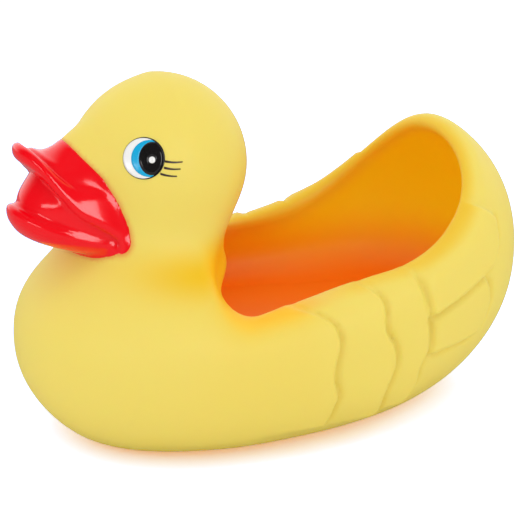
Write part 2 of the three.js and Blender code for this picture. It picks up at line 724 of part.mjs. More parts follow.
const seam = 0.12;
const shrunk = (o, by) => oval(o.back, o.up, o.width - by, o.height - by);
const eyeball = oval(0, 0, eyeRadius, eyeRadius);
const iris = oval(irisBack, 0, irisRadius, irisRadius);
const pupil = oval(pupilBack, 0, pupilHalfWidth, pupilHalfHeight);
const glint = oval(glintBack, glintUp, glintRadius, glintRadius);
const glintMiddle = oval(glintBack, glintUp, 2 * seam, 2 * seam);
const rimEnd = eyeRadius + 2 * outlineWidth;
const rimLine = oval(outlineWidth * 0.35, 0, eyeRadius + outlineWidth, eyeRadius + outlineWidth);
const lashStart = eyeRadius + outlineWidth + fit;
const eyeFields = {
  eye_white: [crescent(shrunk(iris, -seam), [shrunk(eyeball, seam)], 18), whitePaint],
  eye_iris: [crescent(shrunk(pupil, -seam), [shrunk(iris, seam), shrunk(eyeball, seam)], 18), bluePaint],
  eye_pupil: [ring(shrunk(glint, -seam), shrunk(pupil, seam), 18, eyeRadius - seam), blackPaint],
  eye_glint: [ring(glintMiddle, shrunk(glint, seam), 8, eyeRadius), whitePaint],
  eye_outline: [ring(shrunk(eyeball, -seam), rimLine, 20, rimEnd), blackPaint],
  lash_upper: [lash(lashStart + 0.1, -1.8, 15.2, -0.7), brownPaint],
  lash_middle: [lash(lashStart - 0.3, -4, 14.7, -3.5), brownPaint],
  lash_lower: [lash(lashStart - 1.6, -6.2, 13.4, -6.5), brownPaint],
};
for (const [side, place] of Object.entries(sides)) {
  for (const [name, [net, paint]] of Object.entries(eyeFields)) {
    addPiece(`${name}_${side}`, geometryOf(solidOf(place(net))), paint);
  }
}

// Squeaker: a flanged cup pressed into the base, with the reed disc inside it
const lathed = (profile, segments) => {
  const shape = new THREE.LatheGeometry(profile.map(([r, z]) => new THREE.Vector2(r, z)), segments);
  shape.rotateX(Math.PI / 2);
  return shape;
};
const flangeTop = fit + squeakerFlangeThickness;
const cupInside = squeakerRadius - squeakerWall;
const cupFloor = fit + squeakerWall;
const cup = lathed([
  [squeakerHole, fit],
  [squeakerRadius + squeakerFlange, fit],
  [squeakerRadius + squeakerFlange, flangeTop],
  [squeakerRadius, flangeTop],
  [squeakerRadius, wall + 2 * fit],
  [squeakerRadius + 1, wall + 2 * fit + 1],
  [squeakerRadius, wall + 2 * fit + 3],
  [squeakerRadius, squeakerHeight],
  [cupInside, squeakerHeight],
  [cupInside, cupFloor],
  [squeakerHole, cupFloor],
  [squeakerHole, fit],
], 24);
addPiece('squeaker_cup', cup, clearPlastic).position.y = squeakerY;
const reedFloor = cupFloor + fit;
const reed = lathed([
  [squeakerHole, reedFloor],
  [cupInside - fit, reedFloor],
  [cupInside - fit, reedFloor + reedThickness],
  [squeakerHole, reedFloor + reedThickness],
  [squeakerHole, reedFloor],
], 20);
addPiece('squeaker_reed', reed, clearPlastic).position.y = squeakerY;

// The origin stands under the middle of the whole duck
const extent = new THREE.Box3().setFromObject(duck);
duck.position.y = -(extent.min.y + extent.max.y) / 2;

export default duck;
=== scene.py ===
import itertools
import math

import bpy
import numpy as np
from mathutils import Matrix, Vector


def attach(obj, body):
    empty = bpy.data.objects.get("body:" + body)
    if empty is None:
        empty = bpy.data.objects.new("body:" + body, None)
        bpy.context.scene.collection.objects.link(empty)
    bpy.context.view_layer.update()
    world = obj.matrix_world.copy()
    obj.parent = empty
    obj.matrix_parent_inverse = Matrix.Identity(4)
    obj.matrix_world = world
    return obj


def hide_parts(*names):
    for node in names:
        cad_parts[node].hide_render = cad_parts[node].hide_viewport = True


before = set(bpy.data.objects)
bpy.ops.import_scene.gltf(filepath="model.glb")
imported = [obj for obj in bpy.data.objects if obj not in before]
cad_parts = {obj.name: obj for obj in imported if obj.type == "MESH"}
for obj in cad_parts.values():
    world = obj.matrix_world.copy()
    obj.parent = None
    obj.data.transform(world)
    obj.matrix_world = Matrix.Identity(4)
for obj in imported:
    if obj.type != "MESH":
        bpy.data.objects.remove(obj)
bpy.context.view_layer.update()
print("frame loaded")

# Shapes are worked out in millimetres, with the duck looking along -Y and its left side at +X.


# Rounded joins of two shapes, each given as a distance that is negative inside
def joinShapes(a, b, rounding):
    return np.minimum(a, b) - np.maximum(rounding - np.abs(a - b), 0) ** 2 / (4 * rounding)


def keepBoth(a, b, rounding):
    return -joinShapes(-a, -b, rounding)


# A soft step from 0 to 1 about zero
def fade(value, width):
    t = np.clip(value / width + 0.5, 0, 1)
    return t * t * (3 - 2 * t)


# A soft hump, 1 at its middle
def hump(value, middle, width):
    return np.exp(-(((value - middle) / width) ** 2))


# Distance to an egg shape, of which a higher fullness makes a squarer one
def eggShape(x, y, z, halfWidth, halfLength, halfHeight, fullness):
    u = np.abs(x) / halfWidth
    v = np.abs(y) / halfLength
    w = np.abs(z) / halfHeight
    size = u**fullness + v**fullness + w**fullness
    power = fullness - 1
    across, along, up = u**power / halfWidth, v**power / halfLength, w**power / halfHeight
    slope = np.sqrt(across**2 + along**2 + up**2)
    return (size - 1) / (fullness * slope + 1e-3)


# A round-ended cone between two points (y, z) of the middle plane
def coneShape(x, y, z, start, startRadius, end, endRadius):
    dy = end[0] - start[0]
    dz = end[1] - start[1]
    t = np.clip(((y - start[0]) * dy + (z - start[1]) * dz) / (dy * dy + dz * dz), 0, 1)
    reach = np.sqrt(x * x + (y - start[0] - t * dy) ** 2 + (z - start[1] - t * dz) ** 2)
    return reach - (startRadius + t * (endRadius - startRadius))


hull = {
    "halfWidth": 71.4,
    "frontLength": 91.4,
    "backLength": 86,
    "depth": 49,
    "rise": 46,
    "centreY": -10.9,
    "centreZ": 42,
    "fullness": 2.3,
    "baseEdge": 6,
}
stern = {
    "halfWidth": 58.6,
    "halfLength": 66.3,
    "halfHeight": 65.7,
    "centreY": 58,
    "centreZ": 64.5,
    "fullness": 2.1,
    "blend": 30,
}


def hullShape(x, y, z):
    forward = y - hull["centreY"]
    up = z - hull["centreZ"]
    length = np.where(forward < 0, hull["frontLength"], hull["backLength"])
    height = np.where(up < 0, hull["depth"], hull["rise"])
    bow = eggShape(x, forward, up, hull["halfWidth"], length, height, hull["fullness"])
    tail = eggShape(
        x,
        y - stern["centreY"],
        z - stern["centreZ"],
        stern["halfWidth"],
        stern["halfLength"],
        stern["halfHeight"],
        stern["fullness"],
    )
    return joinShapes(bow, tail, stern["blend"])


tray = {
    "rimWidth": 12,
    "rimFlat": 1,
    "rimThins": 3.5,
    "thinY": 56,
    "thinRun": 60,
    "floorZ": 38,
    "floorRound": 16,
    "frontY": -36,
    "frontRound": 14,
    "openingRound": 8,
    "sheerZ": 63,
    "sheerSlope": 0.14,
    "sheerFromY": -30,
    "sheerRiseY": 38,
    "sheerRise": 0.0068,
    "sternPeak": 26,
    "peakFromY": 30,
    "peakRun": 40,
}


# Height of the rim: level beside the tray, then rising to the peak of the stern
def sheerHeight(x, y):
    inward = np.maximum(1 - (x / stern["halfWidth"]) ** 2, 0)
    peak = np.clip((y - tray["peakFromY"]) / tray["peakRun"], 0, 1)
    reach = y + tray["sternPeak"] * inward * peak
    run = np.maximum(reach - tray["sheerRiseY"], 0)
    level = tray["sheerZ"] + tray["sheerSlope"] * (y - tray["sheerFromY"])
    return level + tray["sheerRise"] * run**2


def rimWidthAt(y):
    return tray["rimWidth"] - tray["rimThins"] * fade(y - tray["thinY"], tray["thinRun"])


# The space that the tray takes out of the hull, as wide as the hull less its rim
def trayShape(x, y, z, outer):
    basin = keepBoth(outer + rimWidthAt(y), tray["floorZ"] - z, tray["floorRound"])
    opened = joinShapes(basin, sheerHeight(x, y) - z, tray["openingRound"])
    return keepBoth(opened, tray["frontY"] - y, tray["frontRound"])


head = {
    "radius": 34.6,
    "halfWidth": 36,
    "centreY": -42,
    "centreZ": 115.5,
    "browForward": 29.5,
    "browRoot": 0.9,
    "browRadius": 13.5,
    "browBlend": 14,
    "neckRadius": 26,
    "footRadius": 34,
    "footY": -54,
    "footZ": 35,
    "footBlend": 24,
    "neckBlend": 10,
}


def headShape(x, y, z):
    centre = (head["centreY"], head["centreZ"])
    across = x * head["radius"] / head["halfWidth"]
    ball = np.sqrt(across**2 + (y - centre[0]) ** 2 + (z - centre[1]) ** 2) - head["radius"]
    browEnd = (centre[0] - head["browForward"], centre[1])
    browRoot = head["radius"] * head["browRoot"]
    brow = coneShape(x, y, z, centre, browRoot, browEnd, head["browRadius"])
    return joinShapes(ball, brow, head["browBlend"])


# Feathers: each row has its root along y and its scalloped edge as heights z and places y
feathers = {
    "rise": 2.5,
    "power": 1.4,
    "overrun": 1.1,
    "soft": 1.8,
    "rounding": 2,
    "footInset": 2,
    "endRun": 6,
    "crease": 1,
    "creaseAway": 1.8,
    "creaseWidth": 1.3,
    "flankFromX": 34,
    "flankRun": 12,
    "rows": [
        {
            "root": -30,
            "z": [10, 14, 21.4, 28.9, 36.3, 43.7, 51.1, 57, 61, 64.5, 67],
            "y": [0, 3.2, 3.7, 5.4, 2.2, 3, 5.4, 4.6, 2, -6, -18],
        },
        {
            "root": 2,
            "z": [8, 14, 21.9, 29.7, 37.6, 45.4, 53.3, 61.1, 66.5, 70, 73],
            "y": [27, 30, 29, 30.5, 33, 31.4, 26.6, 27.8, 27, 22, 12],
        },
        {
            "root": 24,
            "z": [10, 16, 23.9, 31.7, 39.6, 47.4, 55.3, 63.1, 71, 78],
            "y": [42, 45, 47, 46.6, 50.4, 50, 48.6, 47, 44.8, 42],
        },
    ],
}

# Flight feathers, the upper one first: each lower edge starts at low and rises by rise over reach
flightFeathers = {
    "power": 1.4,
    "overrun": 1.2,
    "rootRun": 10,
    "soft": 1.6,
    "tipSoft": 2,
    "tipRounding": 1.5,
    "underAway": 1.6,
    "underWidth": 1.2,
    "underFrom": 8,
    "underRun": 12,
    "underTipRun": 8,
    "beyondSoft": 3,
    "beyondStop": 10,
    "beyondRun": 6,
    "flights": [
        {
            "root": 42,
            "low": 53,
            "rise": 17,
            "reach": 49.5,
            "height": 3.4,
            "z": [50, 62, 70, 78, 88, 91.5, 93.6, 97],
            "y": [78, 85, 89.4, 91.6, 91.2, 86.4, 81, 72],
        },
        {
            "root": 46,
            "low": 36,
            "rise": 2,
            "reach": 41,
            "height": 2,
            "z": [30, 36, 44, 52, 60, 66, 72],
            "y": [72, 80, 86, 88, 86, 80, 70],
        },
    ],
}


# A curve through points, with its corners rounded off
def smoothCurve(at, places, values, rounding):
    steps = (-1, -0.5, 0, 0.5, 1)
    return sum(np.interp(at + step * rounding, places, values) for step in steps) / len(steps)


# The groove in the vinyl just past an edge
def creaseAt(past):
    return hump(past, feathers["creaseAway"], feathers["creaseWidth"])


def rowForm(row, y, z):
    edge = smoothCurve(z, row["z"], row["y"], feathers["rounding"])
    share = np.clip((y - row["root"]) / (edge - row["root"]), 0, feathers["overrun"])
    overFoot = z - row["z"][0] - feathers["footInset"]
    ends = fade(overFoot, feathers["endRun"]) * fade(row["z"][-1] - z, feathers["endRun"])
    rise = feathers["rise"] * share ** feathers["power"] * fade(edge - y, feathers["soft"])
    return rise * ends, creaseAt(y - edge) * ends


# Form of one flight feather, and how fully it covers what lies under it
def flightForm(flight, y, z):
    part = flightFeathers
    run = y - flight["root"]
    share = np.clip(run / flight["reach"], 0, part["overrun"])
    overEdge = z - (flight["low"] + flight["rise"] * share ** part["power"])
    tip = smoothCurve(z, flight["z"], flight["y"], part["tipRounding"])
    cover = fade(overEdge, part["soft"]) * fade(tip - y, part["tipSoft"])
    rise = flight["height"] * cover * np.clip(run / part["rootRun"], 0, 1)
    underSpan = fade(run - part["underFrom"], part["underRun"])
    under = hump(overEdge, -part["underAway"], part["underWidth"]) * underSpan
    under = under * fade(tip - y, part["underTipRun"])
    stop = fade(flight["z"][-1] - part["beyondStop"] - z, part["beyondRun"])
    beyond = creaseAt(y - tip) * fade(overEdge, part["beyondSoft"]) * stop
    return rise, np.maximum(under, beyond), cover


# The moulded feathers of each flank: how far they stand out, and how deep the creases past them are
def featherForm(x, y, z):
    height = np.zeros_like(y)
    crease = np.zeros_like(y)
    for row in feathers["rows"]:
        rise, groove = rowForm(row, y, z)
        height = np.maximum(height, rise)
        crease = np.maximum(crease, groove)
    free = 1
    for flight in flightFeathers["flights"]:
        rise, groove, cover = flightForm(flight, y, z)
        height = np.maximum(height, rise)
        crease = np.maximum(crease, groove * free)
        free = 1 - cover
    onFlank = fade(np.abs(x) - feathers["flankFromX"], feathers["flankRun"])
    return height * onFlank, feathers["crease"] * crease * onFlank


squeaker = {"radius": 10.4, "depth": 11, "edge": 0.8}


def squeakerHole(x, y, z):
    around = np.hypot(x, y - hull["centreY"])
    return keepBoth(around - squeaker["radius"], z - squeaker["depth"], squeaker["edge"])


def bodyShape(x, y, z):
    plain = hullShape(x, y, z)
    raised, creased = featherForm(x, y, z)
    rimRound = rimWidthAt(y) - tray["rimFlat"]
    scooped = keepBoth(plain - raised + creased, -trayShape(x, y, z, plain), rimRound)
    foot = (head["footY"], head["footZ"])
    top = (head["centreY"], head["centreZ"])
    neck = coneShape(x, y, z, foot, head["footRadius"], top, head["neckRadius"])
    headAndNeck = joinShapes(headShape(x, y, z), neck, head["neckBlend"])
    whole = joinShapes(scooped, headAndNeck, head["footBlend"])
    standing = keepBoth(whole, -z, hull["baseEdge"])
    return keepBoth(standing, -squeakerHole(x, y, z), squeaker["edge"])


# Bill: two lips on a mouth between them, all measured forward from startY
bill = {
    "startY": -66,
    "backRadius": 12,
    "mouthZ": 90.5,
    "upperLength": 37.5,
    "upperHalfWidth": 26,
    "upperThickness": 6.5,
    "lowerLength": 41,
    "lowerHalfWidth": 26.5,
    "lowerDepth": 10,
    "mouthInset": 0.5,
    "gape": 21,
    "arch": 12.5,
    "archAlong": 0.7,
    "archRun": 0.58,
    "tipThickness": 2.6,
    "cornerThickness": 7,
    "groove": 1.5,
    "tipRise": 1.5,
    "hollow": 4,
    "lipRise": 14.5,
    "underRise": 8,
    "lowerRound": 10,
    "sideInset": 2.5,
    "webSlope": 1.0,
    "webFoot": 17.5,
    "webBlend": 2,
    "ridgeZ": 134.5,
    "curl": 1.4,
    "curlBack": 5,
    "curlWidth": 6.5,
    "fillet": 2.5,
    "alongFrom": -0.6,
    "alongTo": 1.1,
    "edgeDrop": 1,
    "crownPower": 0.9,
    "crownFlattens": 0.5,
    "grooveInset": 5.8,
    "grooveWidth": 1.7,
    "steepness": 0.8,
    "sheetRound": 4,
    "upperRound": 6,
    "innerRound": 6,
    "underLift": 5,
    "webSoft": 4,
    "mouthWall": 2,
    "mouthRound": 3,
    "cornerRound": 1.5,
}


# Distance to a bill outline seen from above, and how far out a point lies, up to 1 at the edge
def billOutline(x, y, halfWidth, length):
    reach = np.where(y < bill["startY"], length, bill["backRadius"])
    u = x / halfWidth
    v = (y - bill["startY"]) / reach
    out = np.sqrt(u * u + v * v)
    slope = np.sqrt((u / halfWidth) ** 2 + (v / reach) ** 2) / np.maximum(out, 1e-3)
    return (out - 1) / np.maximum(slope, 1e-4), np.minimum(out, 1)


def billShape(x, y, z):
    forward = bill["startY"] - y
    mouthLength = bill["upperLength"] - bill["mouthInset"]
    along = np.clip(forward / mouthLength, bill["alongFrom"], bill["alongTo"])
    ahead = np.maximum(along, 0)

    arch = bill["arch"] * fade(along - bill["archAlong"], bill["archRun"])
    edgeZ = bill["mouthZ"] + bill["gape"] * along + arch + bill["upperThickness"] - bill["edgeDrop"]
    upperOut, upperShare = billOutline(x, y, bill["upperHalfWidth"], bill["upperLength"])
    crown = (1 - upperShare**2) ** (bill["crownPower"] + bill["crownFlattens"] * ahead)
    curl = bill["curl"] * hump(forward - bill["upperLength"], -bill["curlBack"], bill["curlWidth"])
    groove = bill["groove"] * hump(upperOut, -bill["grooveInset"], bill["grooveWidth"])
    topZ = edgeZ + (bill["ridgeZ"] - edgeZ) * crown + curl - groove
    atTip = bill["tipThickness"] * ahead**3
    atCorner = bill["cornerThickness"] * np.maximum(1 - ahead, 0) ** 3
    underZ = topZ - (bill["upperThickness"] + atTip + atCorner)
    steepness = bill["steepness"]
    sheet = keepBoth((z - topZ) * steepness, (underZ - z) * steepness, bill["sheetRound"])
    upper = keepBoth(sheet, upperOut, bill["upperRound"])

    lowerOut, lowerShare = billOutline(x, y, bill["lowerHalfWidth"], bill["lowerLength"])
    lipTop = bill["mouthZ"] + bill["lipRise"] * along + bill["tipRise"] * ahead**6
    lowerTop = lipTop - bill["hollow"] * (1 - lowerShare**4)
    lowerFoot = bill["mouthZ"] - bill["lowerDepth"] + bill["underRise"] * along
    lowerUnder = lowerFoot + bill["underLift"] * lowerShare**3
    lowerSheet = keepBoth(z - lowerTop, lowerUnder - z, bill["innerRound"])
    lower = keepBoth(lowerSheet, lowerOut, bill["lowerRound"])

    mouthOut, _ = billOutline(x, y, bill["upperHalfWidth"] - bill["sideInset"], mouthLength)
    overFoot = z - bill["mouthZ"] - bill["webFoot"]
    above = 0.5 * (overFoot + np.sqrt(overFoot**2 + bill["webSoft"] ** 2))
    throat = mouthOut + bill["webSlope"] * above * ahead
    underTop = (z - topZ + bill["mouthWall"]) * steepness
    mouth = keepBoth(throat, underTop, bill["mouthRound"])
    mouth = keepBoth(mouth, lowerUnder + bill["mouthWall"] - z, bill["mouthRound"])
    return joinShapes(joinShapes(upper, lower, bill["cornerRound"]), mouth, bill["webBlend"])


def duckShape(x, y, z):
    return joinShapes(bodyShape(x, y, z), billShape(x, y, z), bill["fillet"])


def slopeOf(shape, points, step=0.05):
    slope = np.zeros_like(points)
    for axis in range(3):
        nudge = np.zeros(3)
        nudge[axis] = step
        slope[:, axis] = (shape(*(points + nudge).T) - shape(*(points - nudge).T)) / (2 * step)
    return slope


# Moves points onto a shape's surface, in short steps along its slope
def settle(shape, points, longest, rounds=3):
    for _ in range(rounds):
        slope = slopeOf(shape, points)
        move = (shape(*points.T) / ((slope**2).sum(1) + 1e-9))[:, None] * slope
        length = np.linalg.norm(move, axis=1)[:, None]
        points = points - move * np.minimum(1, longest / np.maximum(length, 1e-9))
    return points


# Surface of a shape as points and quads: one point for each grid cell that the surface crosses
def surfaceNet(shape, low, high, step):
    axes = [np.arange(low[n], high[n] + step, step) for n in range(3)]
    values = shape(*np.meshgrid(*axes, indexing="ij"))
    inside = values < 0
    cellCount = np.array(values.shape) - 1
    filled = np.zeros(cellCount, np.int8)
    for corner in itertools.product((0, 1), repeat=3):
        filled += inside[tuple(slice(c, n + c) for c, n in zip(corner, cellCount))]
    crossed = (filled > 0) & (filled < 8)
    numbers = np.full(cellCount, -1)
    numbers[crossed] = np.arange(crossed.sum())
    cells = np.argwhere(crossed)
    total = np.zeros((len(cells), 3))
    hits = np.zeros(len(cells))
    for axis in range(3):
        for offset in itertools.product((0, 1), repeat=2):
            start = cells.copy()
            start[:, (axis + 1) % 3] += offset[0]
            start[:, (axis + 2) % 3] += offset[1]
            end = start.copy()
            end[:, axis] += 1
            a, b = values[tuple(start.T)], values[tuple(end.T)]
            hit = (a < 0) != (b < 0)
            spot = np.stack([axes[n][start[:, n]] for n in range(3)], 1)
            spot[:, axis] += np.where(hit, a / np.where(hit, a - b, 1), 0) * step
            total[hit] += spot[hit]
            hits[hit] += 1
    points = total / hits[:, None]
    quads = []
    for axis in range(3):
        near = [slice(1, n) for n in cellCount]
        near[axis] = slice(0, cellCount[axis])
        far = list(near)
        far[axis] = slice(1, cellCount[axis] + 1)
        first, second = inside[tuple(near)], inside[tuple(far)]
        for turned, hit in ((False, first & ~second), (True, ~first & second)):
            edges = np.argwhere(hit)
            edges[:, [n for n in range(3) if n != axis]] += 1
            ring = []
            for offset in ((-1, -1), (0, -1), (0, 0), (-1, 0)):
                cell = edges.copy()
                cell[:, (axis + 1) % 3] += offset[0]
                cell[:, (axis + 2) % 3] += offset[1]
                ring.append(numbers[tuple(cell.T)])
            quads.append(np.stack(ring[::-1] if turned else ring, 1))
    quads = np.concatenate(quads)
    longest = 0.6 * step
    return evenOut(shape, settle(shape, points, longest), quads, longest, 2), quads


# Moves each point to the middle of its neighbours, then back onto the surface
def evenOut(shape, points, quads, longest, rounds):
    for _ in range(rounds):
        total = np.zeros_like(points)
        count = np.zeros(len(points))
        for a, b in ((0, 1), (1, 2), (2, 3), (3, 0)):
            np.add.at(total, quads[:, a], points[quads[:, b]])
            np.add.at(total, quads[:, b], points[quads[:, a]])
            np.add.at(count, quads[:, a], 1)
            np.add.at(count, quads[:, b], 1)
        middle = total / np.maximum(count, 1)[:, None]
        points = settle(shape, 0.5 * points + 0.5 * middle, longest, 2)
    return points


# Mesh steps, and the box that the duck's surface is looked for in
net = {
    "bodyStep": 1.55,
    "paintStep": 0.85,
    "quickFactor": 2.2,
    "sideX": hull["halfWidth"] + 6,
    "billTipY": -112,
    "sternY": 130,
    "lowZ": -4,
    "highZ": 158,
}
coarse = 1.0
bodyLow = (-net["sideX"], net["billTipY"], net["lowZ"])
bodyHigh = (net["sideX"], net["sternY"], net["highZ"])
bodyPoints, bodyQuads = surfaceNet(duckShape, bodyLow, bodyHigh, net["bodyStep"] * coarse)
shiftY = -(bodyPoints[:, 1].min() + bodyPoints[:, 1].max()) / 2
print("body shape", len(bodyQuads), "quads, shift", round(shiftY, 2))


def toMetres(points):
    return (np.asarray(points, float) + [0, shiftY, 0]) / 1000


def addMesh(name, points, faces, material, values=None):
    mesh = bpy.data.meshes.new(name)
    mesh.from_pydata(toMetres(points).tolist(), [], [list(map(int, face)) for face in faces])
    mesh.polygons.foreach_set("use_smooth", [True] * len(mesh.polygons))
    for key, numbers in (values or {}).items():
        layer = mesh.attributes.new(key, "FLOAT", "POINT")
        layer.data.foreach_set("value", np.asarray(numbers, np.float32))
    mesh.materials.append(material)
    mesh.update()
    piece = bpy.data.objects.new(name, mesh)
    bpy.context.scene.collection.objects.link(piece)
    return piece


def newMaterial(name, inputs):
    material = bpy.data.materials.new(name)
    material.use_nodes = True
    surface = material.node_tree.nodes["Principled BSDF"]
    for key, value in inputs.items():
        surface.inputs[key].default_value = value
    return material, material.node_tree, surface


# Mixes a colour towards another by a value that each point of the mesh carries
def tintBy(tree, source, key, colour):
    value = tree.nodes.new("ShaderNodeAttribute")
    value.attribute_name = key
    mix = tree.nodes.new("ShaderNodeMix")
    mix.data_type = "RGBA"
    tree.links.new(value.outputs["Fac"], mix.inputs["Factor"])
    if isinstance(source, tuple):
        mix.inputs["A"].default_value = source
    else:
        tree.links.new(source, mix.inputs["A"])
    mix.inputs["B"].default_value = colour
    return mix.outputs["Result"]


# Fine unevenness of a moulded or painted surface; distance is in metres
def addBump(tree, surface, scale, strength, distance):
    noise = tree.nodes.new("ShaderNodeTexNoise")
    noise.inputs["Scale"].default_value = scale
    noise.inputs["Detail"].default_value = 2
    place = tree.nodes.new("ShaderNodeTexCoord")
    tree.links.new(place.outputs["Object"], noise.inputs["Vector"])
    bump = tree.nodes.new("ShaderNodeBump")
    bump.inputs["Strength"].default_value = strength
    bump.inputs["Distance"].default_value = distance
    tree.links.new(noise.outputs["Fac"], bump.inputs["Height"])
    tree.links.new(bump.outputs["Normal"], surface.inputs["Normal"])


# Body
vinyl = {
    "colour": (0.84, 0.675, 0.13, 1),
    # Painted shade: the gold of the neck's fold and of the vinyl beside the tray's front and rim
    "foldShadeColour": (0.85, 0.52, 0.002, 1),
    # Painted shade: the orange of light bounced about inside the tray
    "trayShadeColour": (1.0, 0.78, 0.002, 1),
    # Painted shade: the deeper red-orange on the tray's floor and in its corners
    "trayFloorShadeColour": (0.97, 0.14, 0.001, 1),
    # Painted shade: darker gold in the creases past the feathers
    "creaseShadeColour": (0.74, 0.50, 0.04, 1),
    "overspray": (0.80, 0.16, 0.02, 1),
    "roughness": 0.5,
    "glow": 0.25,
    "glowReach": 0.004,
    "bump": (260, 0.05, 0.0005),
}
vinylMaterial, vinylTree, vinylSurface = newMaterial(
    "vinyl",
    {
        "Roughness": vinyl["roughness"],
        "Subsurface Weight": vinyl["glow"],
        "Subsurface Radius": (1.0, 0.55, 0.12),
        "Subsurface Scale": vinyl["glowReach"],
        "IOR": 1.36,
    },
)


# Edge of the red paint on the cheeks as heights z and places y, and how far it runs past the bill
paintEdge = {
    "z": [70, 84, 91.7, 97, 106.4, 116, 124, 128.8, 136],
    "y": [-62, -62.5, -64.6, -65.5, -68.6, -73.2, -79.6, -82.8, -92],
    "overlap": 1.2,
    "cheekOverlap": 5,
    "cheekZ": 98,
    "cheekRun": 12,
    "cornerRound": 2,
}


# Distance past the paint's edge: positive on the bill, negative on the bare vinyl
def paintReach(x, y, z):
    edge = np.interp(z, paintEdge["z"], paintEdge["y"])
    onCheek = paintEdge["cheekOverlap"] * fade(z - paintEdge["cheekZ"], paintEdge["cheekRun"])
    overBill = bodyShape(x, y, z) - billShape(x, y, z) + paintEdge["overlap"] + onCheek
    return keepBoth(-overBill, y - edge, paintEdge["cornerRound"]) * -1


# Painted shade: where the vinyl's colour is deepened to stand in for shade and bounced light; a
# pair is where a tint starts or stops, and over what run
tint = {
    "foldHeight": (79, 8),  # the middle of the fold and its half height
    "foldFrontY": (-63, 44),
    "foldBackY": (-12, 16),
    "foldSideX": (14, 16),
    "frontReach": 9,
    "frontY": (0, 24),
    "frontTopZ": (88, 18),
    "frontLowZ": (68, 14),
    "frontLowShare": 0.4,
    "frontGold": 0.9,
    "edgeReach": 3.5,
    "edgeY": (-6, 16),
    "edgeTopZ": (84, 16),
    "edgeDepth": 0.7,
    "edgeFloorDepth": 0.35,
    "trayEdge": (2, 4),
    "trayDepth": (8, 18),
    "floorZ": (52, 40),
    "floorFrontY": (2, 40),
    "floorFrontDepth": (2, 12),
    "rimGold": 0.9,
    "rimEdge": (1.2, 4),
    "rimY": (10, 30),
    "creaseShare": 0.3,
    "creaseEdge": (4, 4),
    "overspray": 0.75,
    "oversprayReach": 2.4,
}


def fadeIn(value, key):
    start, run = tint[key]
    return fade(value - start, run)


def fadeOut(value, key):
    stop, run = tint[key]
    return fade(stop - value, run)


# What each point of the body carries: how deep in the tray it lies, and the strength of each tint,
# which is painted shade in the neck's fold, the tray and the creases, and real red overspray by the
# bill
def bodyValues(points):
    x, y, z = points.T
    depth = sheerHeight(x, y) - z
    past = paintReach(x, y, z)
    toTray = trayShape(x, y, z, hullShape(x, y, z))
    outside = np.maximum(toTray, 0)
    foldSpan = fadeIn(y, "foldFrontY") * fadeOut(y, "foldBackY") * fadeIn(np.abs(x), "foldSideX")
    neckFold = hump(z, *tint["foldHeight"]) * foldSpan
    lowShare = tint["frontLowShare"]
    frontHeight = fadeOut(z, "frontTopZ") * (lowShare + (1 - lowShare) * fadeIn(z, "frontLowZ"))
    trayFront = np.exp(-outside / tint["frontReach"]) * fadeOut(y, "frontY") * frontHeight
    trayEdge = hump(outside, 0, tint["edgeReach"]) * fadeOut(y, "edgeY") * fadeOut(z, "edgeTopZ")
    inTray = fadeOut(toTray, "trayEdge") * (y > tray["frontY"])
    nearRim = tint["rimGold"] * fadeOut(toTray, "rimEdge") * fadeIn(y, "rimY")
    floorFront = fadeOut(y, "floorFrontY") * fadeIn(depth, "floorFrontDepth")
    onFloor = inTray * np.maximum(fadeOut(z, "floorZ"), floorFront)
    creased = featherForm(x, y, z)[1] * fadeIn(toTray, "creaseEdge")
    return {
        "depth": np.maximum(inTray * fadeIn(depth, "trayDepth"), tint["edgeDepth"] * trayEdge),
        "floorDepth": np.maximum(onFloor, tint["edgeFloorDepth"] * trayEdge),
        "crease": creased * tint["creaseShare"],
        "gold": np.maximum(np.maximum(neckFold, tint["frontGold"] * trayFront), nearRim),
        "overspray": np.clip(1 + past / tint["oversprayReach"], 0, 1) ** 2 * tint["overspray"],
    }


# Painted shade deepens the vinyl in the neck's fold, the tray, its floor and the creases; the
# overspray is real red paint
foldShadeTint = tintBy(vinylTree, vinyl["colour"], "gold", vinyl["foldShadeColour"])
trayShadeTint = tintBy(vinylTree, foldShadeTint, "depth", vinyl["trayShadeColour"])
trayFloorShadeTint = tintBy(vinylTree, trayShadeTint, "floorDepth", vinyl["trayFloorShadeColour"])
creaseShadeTint = tintBy(vinylTree, trayFloorShadeTint, "crease", vinyl["creaseShadeColour"])
sprayTint = tintBy(vinylTree, creaseShadeTint, "overspray", vinyl["overspray"])
vinylTree.links.new(sprayTint, vinylSurface.inputs["Base Color"])
addBump(vinylTree, vinylSurface, *vinyl["bump"])

# Under the paint the vinyl sinks a little, so that the two surfaces stay apart
paintBed = {"from": 0.6, "run": 1.2, "slope": 0.8}
underPaint = np.clip(paintReach(*bodyPoints.T) - paintBed["from"], 0, paintBed["run"])[:, None]
bodyNormal = slopeOf(duckShape, bodyPoints)
bodyNormal /= np.linalg.norm(bodyNormal, axis=1)[:, None]
sunkPoints = bodyPoints - bodyNormal * underPaint * paintBed["slope"]
body = addMesh("duckBody", sunkPoints, bodyQuads, vinylMaterial, bodyValues(bodyPoints))
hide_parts("duck_body")
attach(body, "root")
print("body made")

